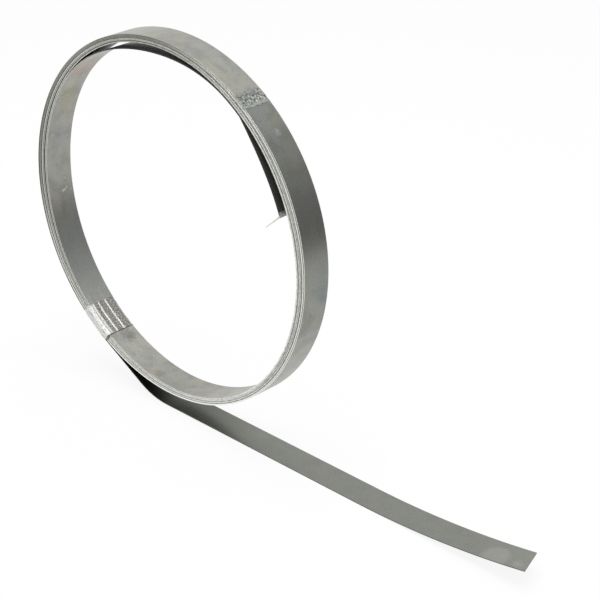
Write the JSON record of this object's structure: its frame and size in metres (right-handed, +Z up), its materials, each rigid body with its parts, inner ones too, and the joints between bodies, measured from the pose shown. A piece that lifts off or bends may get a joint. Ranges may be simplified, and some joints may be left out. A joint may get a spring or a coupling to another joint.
{
  "type": "steel strip coil",
  "caption": "Coil of flat steel strip standing on its free outer end, with a loose inner end and clear tape wraps holding the turns together.",
  "frame": {"origin": "on the floor, at the middle of the whole length and of the strip's width", "axes": "+X along the outer end towards its tip, +Y along the coil's axis, +Z up"},
  "size_m": [0.61, 0.0322, 0.374],
  "materials": {
    "steel": "bright rolled steel with a mottled oil film and bright slit edges",
    "clear_tape": "clear glossy packing tape with wrinkles and trapped air"
  },
  "bodies": {
    "root": {"steel_strip": "steel", "lower_tape": "clear_tape", "upper_tape": "clear_tape"}
  },
  "joints": []
}
